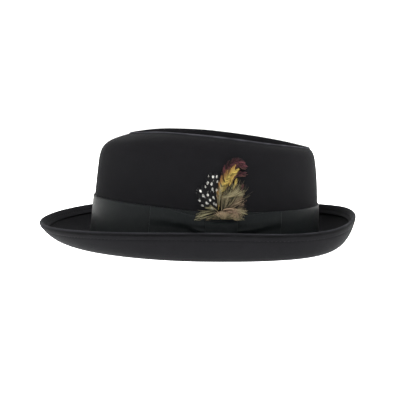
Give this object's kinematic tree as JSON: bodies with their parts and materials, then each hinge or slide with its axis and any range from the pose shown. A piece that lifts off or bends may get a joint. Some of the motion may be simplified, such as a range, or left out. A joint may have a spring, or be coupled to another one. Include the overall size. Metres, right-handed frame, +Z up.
{
  "type": "porkpie hat",
  "caption": "Black felt hat with a dented crown, upturned welted brim, ribbon band, flat side bow and a feather mount.",
  "frame": {"origin": "on the surface that the hat rests on, below the middle of its brim", "axes": "+X towards the back of the hat, its longest way, -X its front; -Y the side with the bow; +Z up, its shortest way"},
  "size_m": [0.279, 0.238, 0.099],
  "materials": {
    "felt": "matt black wool felt",
    "ribbon": "black grosgrain ribbon, finely ribbed",
    "dark_feather": "black feather with white dots",
    "gold_feather": "dyed yellow feather",
    "burgundy_feather": "dyed dark red feather",
    "hackle": "olive and tan hackle"
  },
  "bodies": {
    "root": {"felt_body": "felt", "hat_band": "ribbon", "bow_wing_front": "ribbon", "bow_wing_back": "ribbon", "bow_knot": "ribbon", "guinea_feathers": "dark_feather", "gold_feather": "gold_feather", "burgundy_feather": "burgundy_feather", "hackle_tuft": "hackle"}
  },
  "joints": []
}
